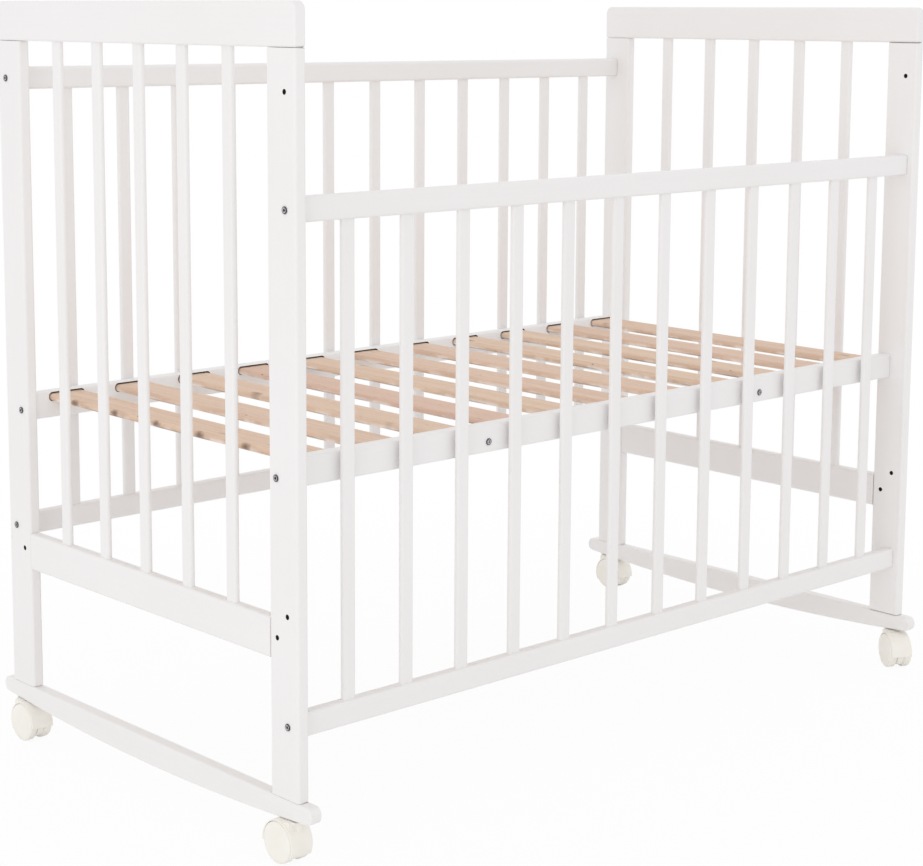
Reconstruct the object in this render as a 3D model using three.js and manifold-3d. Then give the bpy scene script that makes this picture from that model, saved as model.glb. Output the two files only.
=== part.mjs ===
// Wooden crib for a 1200 x 600 mm mattress, in millimetres.
// X runs along the length, the front side faces -Y and Z is up.
// The origin is on the floor under the middle of the crib.

import * as THREE from 'three';
import { mergeVertices } from 'three/addons/utils/BufferGeometryUtils.js';
import Module from 'manifold-3d';

const wasm = await Module();
wasm.setup();

// Main sizes
const innerLength = 1204; // clear length between the two end frames
const overallWidth = 660; // across the outer faces of the posts
const boardThickness = 17; // posts, end rails and runners are cut from one board

// Posts
const postLip = 5; // depth of the post behind the bed rail
const postHeadroom = 51; // from the raised side's top bolt to the top of the post
const postEdgeRadius = 4;

// End rails
const endTopRailHeight = 54;
const endTopCornerRadius = 11;
const endLowerRailHeight = 52;
const endLowerRailRise = 172; // underside above the post foot
const endEdgeRadius = 3;
const tenonLength = 8;
const tenonThickness = 8;
const tenonShoulder = 8;

// Dowels that join each post to its top rail and its runner
const dowelRadius = 4;
const topDowelLength = 18;
const footDowelLength = 13;
const dowelOffset = 13; // from the middle of the post, front to back

// Rocking runners
const runnerOverhang = 24; // past the outer faces of the posts
const runnerMiddleHeight = 36;
const runnerEndHeight = 21;
const runnerCornerRadius = 10;

// Upright slats
const slatWidth = 20;
const slatThickness = 8;
const slatEdgeRadius = 3.5;
const slatSeat = 10; // length of slat inside its mortise
const endSlatCount = 5;
const endSlatGap = 75; // from a post to the first end slat
const sideSlatCount = 12;
const sideSlatGap = 67.5; // from a post to the first side slat

// Side panels
const sideRailThickness = 18;
const sideRailHeight = 31;
const sideRailRadius = 4;
const sideRailSetback = 11; // from the outer face of the post to that of the rail
const sideRailPitch = 630; // from the middle of the lower rail to that of the top rail
const loweredRise = 93; // middle of the lower rail above the post foot, side lowered
const sideStep = 138; // from the lowered to the raised height

// Bed base
const bedRailThickness = 20;
const bedRailHeight = 37;
const bedRailRadius = 2.2;
const bedRailSpacing = 1; // between a side rail and the bed rail behind it
const bedRise = 385; // underside of the bed rails above the post foot
const bedStep = 198; // from the upper to the lower bed height
const bedSlatCount = 11;
const bedSlatWidth = 55;
const bedSlatThickness = 10;
const bedSlatEdgeRadius = 4.5;
const bedSlatGap = 23.5; // from a post to the first bed slat
const slotDepth = 12;
const slotCover = 2.5; // wood left above a slot
const crossbarSize = 18;
const crossbarDrop = 0.5; // below the floor of the slots
const crossbarPitch = 554;

// Bolts
const boltRadius = 3;
const boltHeadRadius = 5;
const boltHeadHeight = 3.5;
const boltSocketRadius = 2.4;
const boltSocketDepth = 2.2;
const boltBite = 28; // length inside the rail

// Casters
const wheelRadius = 27;
const wheelWidth = 15;
const wheelDome = 3; // bulge of the outer side of a wheel
const wheelEdge = 1.5;
const wheelTaper = 3.5; // fall of the tread towards the web
const axleRadius = 4;
const axleEndWall = 2.8; // wall of the wheel left outside the axle
const webThickness = 9;
const webRadius = 22;
const neckWidth = 15;
const flangeRadius = 9;
const flangeThickness = 1.6;
const fenderThickness = 1.3;
const fenderWidth = 36;
const fenderRearAngle = 12; // its two edges, in degrees round the axle from the rear
const fenderFrontAngle = 190;
const casterTrail = 18; // from the swivel axis back to the axle
const casterInset = 15; // swivel axis from the outer face of the post
const kingpinRadius = 3;
const kingpinLength = 17;
const stemRadius = 4;
const stemLength = 15.5;
const collarLip = 1; // of the collar round the stem
const collarThickness = 1.3;
const trailAngles = { // way in which each caster trails, in degrees from +X
  front_left: 90,
  back_left: -90,
  front_right: -122,
  back_right: -90,
};

// Clearances
const seatGap = 0.3; // between pieces that touch
const mortiseGap = 0.3; // round a slat, tenon or dowel in its hole
const mortiseEndGap = 1.5; // past the end of a slat, tenon or dowel
const boltGap = 0.5; // round a bolt in its hole
const boltEndGap = 3; // past the tip of a bolt
const slotEndGap = 0.5; // past each end of a bed slat and at its two edges
const slotTopGap = 0.7; // above a bed slat
const spotFaceDepth = 0.1;
const pinGap = 0.12; // round the pin on which a caster swivels
const axleGap = 0.15; // round the axle of a wheel
const wheelSideGap = 0.6; // between a wheel and the web
const fenderGap = 0.7; // between the treads and the fender
const flangeStep = 0.4; // underside of the flange above that of the fender

// Fineness of the round shapes, the steps being for a quarter turn
const edgeSteps = 2;
const cornerSteps = 4;
const slotSteps = 2;
const arcSteps = 12;
const holeSides = 8;
const boltSides = 8;
const pinSides = 12;
const wheelSides = 20;
const fenderSteps = 5;

// Sizes worked out from the ones above
const sideRailInset = sideRailSetback + sideRailThickness / 2;
const sideRailY = overallWidth / 2 - sideRailInset;
const bedRailSetback = sideRailSetback + sideRailThickness + bedRailSpacing;
const bedRailInset = bedRailSetback + bedRailThickness / 2;
const bedRailY = overallWidth / 2 - bedRailInset;
const railLength = innerLength - 2 * seatGap;
const raisedRise = loweredRise + sideStep;
const postDepth = bedRailSetback + bedRailThickness + postLip;
const postHeight = raisedRise + sideRailPitch + postHeadroom;
const frameX = innerLength / 2 + boardThickness / 2;
const postY = overallWidth / 2 - postDepth / 2;
const slotHeight = bedSlatThickness + seatGap + slotTopGap;
const slotFloor = bedRailHeight - slotCover - slotHeight; // above the rail's underside
const bedBoltRise = slotFloor - crossbarDrop - crossbarSize / 2;
const bedBoltHeight = bedRise + bedBoltRise;
const endSpan = overallWidth - 2 * postDepth;
const endSlatPitch = (endSpan - 2 * endSlatGap - slatWidth) / (endSlatCount - 1);
const sideSlatPitch = (innerLength - 2 * sideSlatGap - slatWidth) / (sideSlatCount - 1);
const bedSlatPitch = (innerLength - 2 * bedSlatGap - bedSlatWidth) / (bedSlatCount - 1);
const casterY = overallWidth / 2 - casterInset;
const collarRadius = stemRadius + collarLip;
const seatRadius = collarRadius + seatGap;

// The runner's underside is one arc, lowest in the middle
const runnerLength = overallWidth + 2 * runnerOverhang;
const runnerDrop = runnerMiddleHeight - runnerEndHeight;
const runnerArcRadius = ((runnerLength / 2) ** 2 + runnerDrop ** 2) / (2 * runnerDrop);
const runnerHeightAt = (y) =>
  runnerMiddleHeight - runnerArcRadius + Math.sqrt(runnerArcRadius ** 2 - y ** 2);

// Heights above the floor, from the wheels up
const axleHeight = wheelRadius * Math.cos(Math.PI / wheelSides);
const fenderRadius = wheelRadius + fenderGap; // of its underside
const flangeBase = axleHeight + fenderRadius + flangeStep;
const hoodTop = flangeBase + flangeThickness;
const collarBase = hoodTop + seatGap;
const stemSeat = collarBase + collarThickness + seatGap;
const runnerTop = stemSeat - spotFaceDepth + runnerHeightAt(casterY + seatRadius);
const footHeight = runnerTop + seatGap;

const paint = { color: 0xf3f2f0, roughness: 0.45, metalness: 0 };
const bareWood = { color: 0xe0c6b0, roughness: 0.6, metalness: 0 };
const plastic = { color: 0xeeeae0, roughness: 0.35, metalness: 0 };
const steel = { color: 0x85858a, roughness: 0.35, metalness: 0.9 };

const axes = {
  x: new THREE.Matrix4().makeBasis(
    new THREE.Vector3(0, 1, 0), new THREE.Vector3(0, 0, 1), new THREE.Vector3(1, 0, 0)),
  y: new THREE.Matrix4().makeBasis(
    new THREE.Vector3(0, 0, 1), new THREE.Vector3(1, 0, 0), new THREE.Vector3(0, 1, 0)),
  z: new THREE.Matrix4(),
};

function toSolid(geometry) {
  const bare = geometry.clone();
  bare.deleteAttribute('normal');
  bare.deleteAttribute('uv');
  const merged = mergeVertices(bare, 1e-4);
  return new wasm.Manifold(new wasm.Mesh({
    numProp: 3,
    vertProperties: new Float32Array(merged.attributes.position.array),
    triVerts: new Uint32Array(merged.index.array),
  }));
}

// Joins the additions to a body, then cuts the tools out of it
function carve(body, additions, tools) {
  let solid = toSolid(body);
  for (const addition of additions) {
    solid = solid.add(toSolid(addition));
  }
  for (const tool of tools) {
    solid = solid.subtract(toSolid(tool));
  }
  const mesh = solid.getMesh();
  const geometry = new THREE.BufferGeometry();
  geometry.setAttribute('position', new THREE.BufferAttribute(mesh.vertProperties, 3));
  geometry.setIndex(new THREE.BufferAttribute(mesh.triVerts, 1));
  geometry.computeVertexNormals();
  return geometry;
}

// Rectangle round the origin with its own radius for the two upper and two lower corners
function roundedShape(width, height, upperRadius, lowerRadius = upperRadius) {
  const right = width / 2;
  const top = height / 2;
  const shape = new THREE.Shape();
  shape.moveTo(right - lowerRadius, -top);
  shape.absarc(right - lowerRadius, lowerRadius - top, lowerRadius, -Math.PI / 2, 0);
  shape.absarc(right - upperRadius, top - upperRadius, upperRadius, 0, Math.PI / 2);
  shape.absarc(upperRadius - right, top - upperRadius, upperRadius, Math.PI / 2, Math.PI);
  shape.absarc(lowerRadius - right, lowerRadius - top, lowerRadius, Math.PI, Math.PI * 1.5);
  shape.closePath();
  return shape;
}

// Straight bar with rounded long edges, its middle at the origin.
// Its section is across by up: Y by Z for a bar along x, Z by X along y, X by Y along z.
function bar(axis, across, up, radius, length, steps = edgeSteps) {
  const geometry = new THREE.ExtrudeGeometry(roundedShape(across, up, radius), {
    depth: length, bevelEnabled: false, curveSegments: steps / 2,
  });
  geometry.translate(0, 0, -length / 2);
  return geometry.applyMatrix4(axes[axis]);
}

// Flat board of the given outline in Y and Z, with softened faces, its middle at x = 0
function board(shape, thickness, edge, steps) {
  const geometry = new THREE.ExtrudeGeometry(shape, {
    depth: thickness - 2 * edge,
    bevelThickness: edge,
    bevelSize: edge,
    bevelOffset: -edge,
    bevelSegments: edgeSteps,
    curveSegments: steps / 2,
  });
  geometry.translate(0, 0, edge - thickness / 2);
  return geometry.applyMatrix4(axes.x);
}

function rod(axis, radius, length, sides) {
  const geometry = new THREE.CylinderGeometry(radius, radius, length, sides);
  return geometry.rotateX(Math.PI / 2).applyMatrix4(axes[axis]);
}

// Closed turned shape round the z axis from radius and height pairs
function turned(profile, sides, startAngle = 0) {
  const points = profile.map(([radius, height]) => new THREE.Vector2(radius, height));
  const geometry = new THREE.LatheGeometry(points, sides, startAngle);
  return geometry.rotateX(Math.PI / 2);
}

// Positions of a row of equal pieces centred on zero
function spread(count, pitch) {
  return Array.from({ length: count }, (_, index) => (index - (count - 1) / 2) * pitch);
}

function piece(name, geometry, finish, x = 0, y = 0, z = 0) {
  const mesh = new THREE.Mesh(geometry, new THREE.MeshStandardMaterial(finish));
  mesh.name = name;
  mesh.position.set(x, y, z);
  return mesh;
}

// Post with its outer face towards -Y and its foot at z = 0.
// Bolt holes run through it for each height of the side rails and of the bed base.
function postGeometry(sideRises) {
  const outerFace = -postDepth / 2;
  const body = bar('z', boardThickness, postDepth, postEdgeRadius, postHeight);
  body.translate(0, 0, postHeight / 2);
  const dowels = [-dowelOffset, dowelOffset].map((y) =>
    rod('z', dowelRadius, 2 * topDowelLength, holeSides).translate(0, y, postHeight));
  dowels.push(rod('z', dowelRadius, 2 * footDowelLength, holeSides).translate(0, dowelOffset, 0));
  const holes = [];
  const addHole = (inset, rise) => {
    const hole = rod('x', boltRadius + boltGap, 2 * boardThickness, holeSides);
    holes.push(hole.translate(0, outerFace + inset, rise));
  };
  for (const rise of sideRises) {
    addHole(sideRailInset, rise);
    addHole(sideRailInset, rise + sideRailPitch);
  }
  addHole(bedRailInset, bedBoltHeight);
  addHole(bedRailInset, bedBoltHeight - bedStep);
  const mortise = bar('y', endLowerRailHeight - 2 * tenonShoulder + 2 * mortiseGap,
    tenonThickness + 2 * mortiseGap, mortiseGap, 2 * (tenonLength + mortiseEndGap));
  mortise.translate(0, -outerFace, endLowerRailRise + endLowerRailHeight / 2);
  return carve(body, dowels, [...holes, mortise]);
}

// Mortise for the upper end of an upright slat, cut upwards from z = 0
function slatMortise(wide, deep) {
  return bar('z', wide + 2 * mortiseGap, deep + 2 * mortiseGap,
    slatEdgeRadius, 2 * (slatSeat + mortiseEndGap));
}

function endTopRailGeometry() {
  const outline = roundedShape(overallWidth, endTopRailHeight, endTopCornerRadius, endEdgeRadius + 1);
  const body = board(outline, boardThickness, endEdgeRadius, cornerSteps);
  body.translate(0, 0, endTopRailHeight / 2);
  const mortises = spread(endSlatCount, endSlatPitch).map((y) =>
    slatMortise(slatThickness, slatWidth).translate(0, y, 0));
  const dowelHoles = [-postY, postY].flatMap((y) => [y - dowelOffset, y + dowelOffset]).map((y) =>
    rod('z', dowelRadius + mortiseGap, 2 * (topDowelLength + mortiseEndGap), holeSides)
      .translate(0, y, 0));
  return carve(body, [], [...mortises, ...dowelHoles]);
}

// Lower end rail with its tenons and the upright slats glued into it
function endLowerRailGeometry() {
  const body = bar('y', endLowerRailHeight, boardThickness, postEdgeRadius, endSpan - 2 * seatGap);
  body.translate(0, 0, endLowerRailHeight / 2);
  const tenons = bar('y', endLowerRailHeight - 2 * tenonShoulder, tenonThickness,
    mortiseGap, endSpan + 2 * tenonLength);
  tenons.translate(0, 0, endLowerRailHeight / 2);
  const slatBase = endLowerRailHeight / 2;
  const slatTop = postHeight + seatGap + slatSeat - endLowerRailRise;
  const slats = spread(endSlatCount, endSlatPitch).map((y) =>
    bar('z', slatThickness, slatWidth, slatEdgeRadius, slatTop - slatBase)
      .translate(0, y, (slatTop + slatBase) / 2));
  return carve(body, [tenons, ...slats], []);
}

// Outline of a rocking runner in Y and Z: flat top at z = 0, arc below, rounded ends
function runnerOutline() {
  const end = runnerLength / 2;
  const radius = runnerCornerRadius;
  const arcEnd = end - radius;
  const lowest = -runnerHeightAt(arcEnd);
  const outline = new THREE.Shape();
  outline.moveTo(end - radius, 0);
  outline.lineTo(radius - end, 0);
  outline.absarc(radius - end, -radius, radius, Math.PI / 2, Math.PI);
  outline.absarc(radius - end, lowest + radius, radius, Math.PI, Math.PI * 1.5);
  for (let step = 1; step < arcSteps; step += 1) {
    const y = -arcEnd + (2 * arcEnd * step) / arcSteps;
    outline.lineTo(y, -runnerHeightAt(y));
  }
  outline.absarc(end - radius, lowest + radius, radius, -Math.PI / 2, 0);
  outline.absarc(end - radius, -radius, radius, 0, Math.PI / 2);
  outline.closePath();
  return outline;
}

function runnerGeometry() {
  const body = board(runnerOutline(), boardThickness, endEdgeRadius, cornerSteps);
  const tools = [];
  for (const side of [-1, 1]) {
    const dowelHole = rod('z', dowelRadius + mortiseGap,
      2 * (footDowelLength + mortiseEndGap), holeSides);
    tools.push(dowelHole.translate(0, side * (postY - dowelOffset), 0));
    const seat = stemSeat - runnerTop;
    const spotFace = rod('z', seatRadius, runnerMiddleHeight, pinSides);
    tools.push(spotFace.translate(0, side * casterY, seat - runnerMiddleHeight / 2));
    const socket = rod('z', stemRadius + mortiseGap, 2 * (stemLength + mortiseEndGap), pinSides);
    tools.push(socket.translate(0, side * casterY, seat));
  }
  return carve(body, [], tools);
}

// Blind holes for the bolts in both ends of a rail along x
function endBores(y, z) {
  return [-1, 1].map((side) =>
    rod('x', boltRadius + boltGap, 2 * (boltBite + boltEndGap), holeSides)
      .translate(side * railLength / 2, y, z));
}

function sideTopRailGeometry() {
  const body = bar('x', sideRailThickness, sideRailHeight, sideRailRadius, railLength);
  const mortises = spread(sideSlatCount, sideSlatPitch).map((x) =>
    slatMortise(slatWidth, slatThickness).translate(x, 0, -sideRailHeight / 2));
  return carve(body, [], [...mortises, ...endBores(0, 0)]);
}

// Lower side rail with the upright slats glued into it
function sideLowerRailGeometry() {
  const body = bar('x', sideRailThickness, sideRailHeight, sideRailRadius, railLength);
  const slatTop = sideRailPitch - sideRailHeight / 2 + slatSeat;
  const slats = spread(sideSlatCount, sideSlatPitch).map((x) =>
    bar('z', slatWidth, slatThickness, slatEdgeRadius, slatTop).translate(x, 0, slatTop / 2));
  return carve(body, slats, endBores(0, 0));
}

// Bed rail with its underside at z = 0 and its slotted face towards +Y
function bedRailGeometry() {
  const innerFace = bedRailThickness / 2;
  const body = bar('x', bedRailThickness, bedRailHeight, bedRailRadius, railLength);
  body.translate(0, 0, bedRailHeight / 2);
  const slots = spread(bedSlatCount, bedSlatPitch).map((x) =>
    bar('y', slotHeight, bedSlatWidth + 2 * slotEndGap, bedSlatEdgeRadius, 2 * slotDepth, slotSteps)
      .translate(x, innerFace, slotFloor + slotHeight / 2));
  const crossbarHoles = [-crossbarPitch / 2, crossbarPitch / 2].map((x) =>
    rod('y', boltRadius + boltGap, 2 * bedRailThickness, holeSides).translate(x, 0, bedBoltRise));
  return carve(body, [], [...slots, ...crossbarHoles, ...endBores(0, bedBoltRise)]);
}

// Bar under the bed slats, bored at both ends for the bolts through the bed rails
function crossbarGeometry() {
  const length = 2 * (bedRailY - bedRailThickness / 2 - seatGap);
  const body = bar('y', crossbarSize, crossbarSize, bedRailRadius, length);
  const bores = [-length / 2, length / 2].map((y) =>
    rod('y', boltRadius + boltGap, 2 * (boltBite + boltEndGap), holeSides).translate(0, y, 0));
  return carve(body, [], bores);
}

function bedSlatGeometry() {
  const length = 2 * (bedRailY - bedRailThickness / 2 + slotDepth - slotEndGap);
  return bar('y', bedSlatThickness, bedSlatWidth, bedSlatEdgeRadius, length, slotSteps);
}

// Socket head bolt along +X with its head's underside at x = 0
function boltGeometry() {
  const tip = 2 * seatGap + boardThickness + boltBite;
  const root = (boltSocketDepth - boltHeadHeight) / 2;
  const shank = rod('x', boltRadius, tip - root, boltSides).translate((tip + root) / 2, 0, 0);
  const head = rod('x', boltHeadRadius, boltHeadHeight, boltSides);
  head.translate(-boltHeadHeight / 2, 0, 0);
  const socket = rod('x', boltSocketRadius, 2 * boltSocketDepth, 6);
  socket.translate(-boltHeadHeight, 0, 0);
  return carve(head, [shank], [socket]);
}

// Steel stem: upper end in the runner, collar under it, kingpin in the hood
function stemGeometry() {
  const collarTop = collarBase + collarThickness;
  const stemTop = stemSeat + stemLength;
  const pinEnd = hoodTop - kingpinLength;
  return carve(turned([
    [0, pinEnd], [kingpinRadius, pinEnd], [kingpinRadius, collarBase],
    [collarRadius, collarBase], [collarRadius, collarTop], [stemRadius, collarTop],
    [stemRadius, stemTop], [0, stemTop],
  ], pinSides), [], []);
}

// Flat ring sector round the axle between two radii, its middle at y = 0
function sector(innerRadius, outerRadius, thickness) {
  const rear = THREE.MathUtils.degToRad(fenderRearAngle);
  const front = THREE.MathUtils.degToRad(fenderFrontAngle);
  const shape = new THREE.Shape();
  shape.absarc(0, 0, outerRadius, rear, front, false);
  shape.absarc(0, 0, innerRadius, front, rear, true);
  shape.closePath();
  const geometry = new THREE.ExtrudeGeometry(shape, {
    depth: thickness, bevelEnabled: false, curveSegments: fenderSteps,
  });
  geometry.translate(0, 0, -thickness / 2).rotateX(Math.PI / 2);
  return geometry.translate(casterTrail, 0, axleHeight);
}

// Hood of a caster: fender over the wheels, web between them, neck, top flange and the
// axle ends. The swivel axis is x = 0 and the caster trails towards +X.
function hoodGeometry() {
  const web = rod('y', webRadius, webThickness, wheelSides).translate(casterTrail, 0, axleHeight);
  const crown = sector(webRadius / 2, fenderRadius + fenderThickness / 2, webThickness);
  const fender = sector(fenderRadius, fenderRadius + fenderThickness, fenderWidth);
  const neckHeight = flangeBase - axleHeight;
  const neck = bar('z', neckWidth, webThickness, mortiseGap, neckHeight + flangeThickness / 2);
  neck.translate(0, 0, axleHeight + (neckHeight + flangeThickness / 2) / 2);
  const flange = rod('z', flangeRadius, flangeThickness, pinSides);
  flange.translate(0, 0, flangeBase + flangeThickness / 2);
  const axleLength = webThickness + 2 * (wheelSideGap + wheelWidth - axleEndWall - axleGap);
  const axle = rod('y', axleRadius, axleLength, pinSides).translate(casterTrail, 0, axleHeight);
  const bore = rod('z', kingpinRadius + pinGap, 2 * (kingpinLength + seatGap), pinSides);
  bore.translate(0, 0, hoodTop);
  return carve(web, [crown, fender, neck, flange, axle], [bore]);
}

// Wheel round the y axis: inner side at y = 0, domed outer side towards +Y, blind axle hole.
// The half step of turn puts a flat of the tread, not a corner, on the floor.
function wheelGeometry() {
  const rim = wheelWidth - wheelDome;
  const bore = axleRadius + axleGap;
  const geometry = turned([
    [0, wheelWidth - axleEndWall], [bore, wheelWidth - axleEndWall], [bore, 0],
    [wheelRadius - wheelTaper, 0], [wheelRadius, wheelTaper], [wheelRadius, rim - wheelEdge],
    [wheelRadius - wheelEdge, rim],
    [wheelRadius * 0.72, wheelWidth - wheelDome / 3], [wheelRadius * 0.36, wheelWidth],
    [0, wheelWidth],
  ], wheelSides, Math.PI / wheelSides);
  return carve(geometry.rotateX(-Math.PI / 2), [], []);
}

const wheelShape = wheelGeometry();
const hoodShape = hoodGeometry();
const stemShape = stemGeometry();

function caster(corner, x, y) {
  const group = new THREE.Group();
  const name = `caster_${corner}`;
  const wheelY = webThickness / 2 + wheelSideGap;
  const leftWheel = piece(`${name}_wheel_1`, wheelShape, plastic, casterTrail, wheelY, axleHeight);
  const rightWheel = piece(`${name}_wheel_2`, wheelShape, plastic, casterTrail, -wheelY, axleHeight);
  rightWheel.rotation.z = Math.PI;
  group.add(piece(`${name}_stem`, stemShape, steel));
  group.add(piece(`${name}_hood`, hoodShape, plastic));
  group.add(leftWheel, rightWheel);
  group.position.set(x, y, 0);
  group.rotation.z = THREE.MathUtils.degToRad(trailAngles[corner]);
  return group;
}

const postShapes = {
  front: postGeometry([loweredRise, raisedRise]),
  back: postGeometry([raisedRise]),
};
const endTopRailShape = endTopRailGeometry();
const endLowerRailShape = endLowerRailGeometry();
const runnerShape = runnerGeometry();

// End frame in its own plane: two posts, two rails, the slats and the rocking runner
function endFrame(end, x) {
  const group = new THREE.Group();
  const frontPost = piece(`post_front_${end}`, postShapes.front, paint, 0, -postY, 0);
  const backPost = piece(`post_back_${end}`, postShapes.back, paint, 0, postY, 0);
  backPost.rotation.z = Math.PI;
  group.add(frontPost, backPost);
  group.add(piece(`end_top_rail_${end}`, endTopRailShape, paint, 0, 0, postHeight + seatGap));
  group.add(piece(`end_slat_frame_${end}`, endLowerRailShape, paint, 0, 0, endLowerRailRise));
  group.add(piece(`runner_${end}`, runnerShape, paint, 0, 0, -seatGap));
  group.position.set(x, 0, footHeight);
  return group;
}

const sideTopRailShape = sideTopRailGeometry();
const sideLowerRailShape = sideLowerRailGeometry();
const bedRailShape = bedRailGeometry();
const boltShape = boltGeometry();

// One long side: its panel, its bed rail and the bolts that hold both to the posts
function longSide(side, rise) {
  const group = new THREE.Group();
  group.add(piece(`${side}_top_rail`, sideTopRailShape, paint, 0, -sideRailY, rise + sideRailPitch));
  group.add(piece(`${side}_slat_panel`, sideLowerRailShape, paint, 0, -sideRailY, rise));
  group.add(piece(`bed_rail_${side}`, bedRailShape, paint, 0, -bedRailY, bedRise));
  const boltPlaces = {
    top: [-sideRailY, rise + sideRailPitch],
    bottom: [-sideRailY, rise],
    bed: [-bedRailY, bedBoltHeight],
  };
  const headX = innerLength / 2 + boardThickness + seatGap;
  for (const [place, [y, z]] of Object.entries(boltPlaces)) {
    const first = piece(`bolt_${side}_${place}_1`, boltShape, steel, -headX, y, z);
    const second = piece(`bolt_${side}_${place}_2`, boltShape, steel, headX, y, z);
    second.rotation.z = Math.PI;
    group.add(first, second);
  }
  group.position.z = footHeight;
  return group;
}

// Slats and crossbars that span the two bed rails
function bedBase() {
  const group = new THREE.Group();
  const slatMiddle = bedRise + slotFloor + seatGap + bedSlatThickness / 2;
  const slatShape = bedSlatGeometry();
  spread(bedSlatCount, bedSlatPitch).forEach((x, index) => {
    const number = String(index + 1).padStart(2, '0');
    group.add(piece(`bed_slat_${number}`, slatShape, bareWood, x, 0, slatMiddle));
  });
  const crossbarShape = crossbarGeometry();
  spread(2, crossbarPitch).forEach((x, index) => {
    group.add(piece(`bed_crossbar_${index + 1}`, crossbarShape, paint, x, 0, bedBoltHeight));
  });
  group.position.z = footHeight;
  return group;
}

const crib = new THREE.Group();
crib.add(endFrame('left', -frameX), endFrame('right', frameX));
crib.add(longSide('front', loweredRise));
const backSide = longSide('back', raisedRise);
backSide.rotation.z = Math.PI;
crib.add(backSide, bedBase());
crib.add(caster('front_left', -frameX, -casterY));
crib.add(caster('back_left', -frameX, casterY));
crib.add(caster('front_right', frameX, -casterY));
crib.add(caster('back_right', frameX, casterY));

export default crib;
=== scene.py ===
# White painted crib on four twin-wheel casters.
# Lengths are in millimetres until a mesh is made. x runs along the crib, the front
# side faces -y and z is up.

import bpy
import numpy as np
from mathutils import Matrix, Vector


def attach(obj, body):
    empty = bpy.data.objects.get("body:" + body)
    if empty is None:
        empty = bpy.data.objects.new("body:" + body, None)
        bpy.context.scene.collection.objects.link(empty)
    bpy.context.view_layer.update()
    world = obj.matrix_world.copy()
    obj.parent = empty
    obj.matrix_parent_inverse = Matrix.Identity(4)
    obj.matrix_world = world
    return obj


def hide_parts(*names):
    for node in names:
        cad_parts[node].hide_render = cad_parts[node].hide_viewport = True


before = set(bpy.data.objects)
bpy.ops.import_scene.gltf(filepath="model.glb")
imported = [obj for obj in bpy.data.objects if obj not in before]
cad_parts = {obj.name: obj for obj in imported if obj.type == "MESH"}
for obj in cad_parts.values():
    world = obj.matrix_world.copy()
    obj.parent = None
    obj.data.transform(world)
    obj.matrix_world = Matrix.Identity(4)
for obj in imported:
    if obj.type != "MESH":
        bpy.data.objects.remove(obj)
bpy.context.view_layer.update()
metre = 0.001

print("camera")

cameraView = {
    "azimuth": -42.832,  # degrees, 0 looks along +y
    "elevation": 8.2701,
    "roll": 0.3463,
    "place": (-2132.73, -2248.34, 1032.74),
    "sensor": 36,
    "lens": 81.833,
    "shiftY": -0.12243,
    "clip": (0.1, 80),  # metres
}


def makeCamera(view):
    azimuth, elevation, roll = np.radians([view["azimuth"], view["elevation"], view["roll"]])
    back = np.array([
        np.sin(azimuth) * np.cos(elevation),
        -np.cos(azimuth) * np.cos(elevation),
        np.sin(elevation),
    ])
    level = np.array([np.cos(azimuth), np.sin(azimuth), 0.0])
    upright = np.cross(back, level)
    right = np.cos(roll) * level + np.sin(roll) * upright
    up = np.cos(roll) * upright - np.sin(roll) * level
    data = bpy.data.cameras.new("camera")
    data.sensor_width = view["sensor"]
    data.lens = view["lens"]
    data.shift_y = view["shiftY"]
    data.clip_start, data.clip_end = view["clip"]
    camera = bpy.data.objects.new("camera", data)
    bpy.context.scene.collection.objects.link(camera)
    facing = Matrix([right.tolist(), up.tolist(), back.tolist()]).transposed().to_4x4()
    camera.matrix_world = Matrix.Translation(Vector(view["place"]) * metre) @ facing
    bpy.context.scene.camera = camera


makeCamera(cameraView)

print("materials")


class Wire:
    # an output socket, whose arithmetic adds Math nodes to its tree
    def __init__(self, tree, socket=None):
        self.tree = tree
        self.socket = socket

    def node(self, kind, settings=None, sockets=None, output=0):
        made = self.tree.nodes.new(kind)
        for key, value in (settings or {}).items():
            setattr(made, key, value)
        for key, value in (sockets or {}).items():
            if isinstance(value, Wire):
                self.tree.links.new(value.socket, made.inputs[key])
            else:
                made.inputs[key].default_value = value
        return Wire(self.tree, made.outputs[output] if len(made.outputs) else None)

    def math(self, operation, first, second=0.0):
        return self.node("ShaderNodeMath", {"operation": operation}, {0: first, 1: second})

    def __add__(self, other):
        return self.math("ADD", self, other)

    def __sub__(self, other):
        return self.math("SUBTRACT", self, other)

    def __rsub__(self, other):
        return self.math("SUBTRACT", other, self)

    def __mul__(self, other):
        return self.math("MULTIPLY", self, other)

    __radd__ = __add__
    __rmul__ = __mul__

    def part(self, axis):
        return self.node("ShaderNodeSeparateXYZ", {}, {0: self}, axis)

    def slope(self, low, high):
        # 0 below low, 1 above high and straight between them
        return self.node("ShaderNodeMapRange", {}, {0: self, 1: low, 2: high})

    def stretched(self, scale):
        return self.node("ShaderNodeMapping", {}, {"Vector": self, "Scale": scale})

    def combine(self, x, y, z):
        return self.node("ShaderNodeCombineXYZ", {}, {0: x, 1: y, 2: z})

    def length(self):
        return self.node("ShaderNodeVectorMath", {"operation": "LENGTH"}, {0: self}, "Value")

    def noise(self, scale, detail=2.0, roughness=0.5, distortion=0.0):
        return self.node("ShaderNodeTexNoise", {}, {
            "Vector": self, "Scale": scale, "Detail": detail,
            "Roughness": roughness, "Distortion": distortion,
        })

    def between(self, first, second):
        # the colour at this share of the way from the first to the second
        return self.node("ShaderNodeMix", {"data_type": "RGBA"},
                         {0: self, 6: first, 7: second}, 2)

    def bump(self, strength, depth):
        return self.node("ShaderNodeBump", {},
                         {"Strength": strength, "Distance": depth * metre, "Height": self})


def newMaterial(name):
    material = bpy.data.materials.new(name)
    material.use_nodes = True
    material.node_tree.nodes.clear()
    return material, Wire(material.node_tree)


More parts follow.
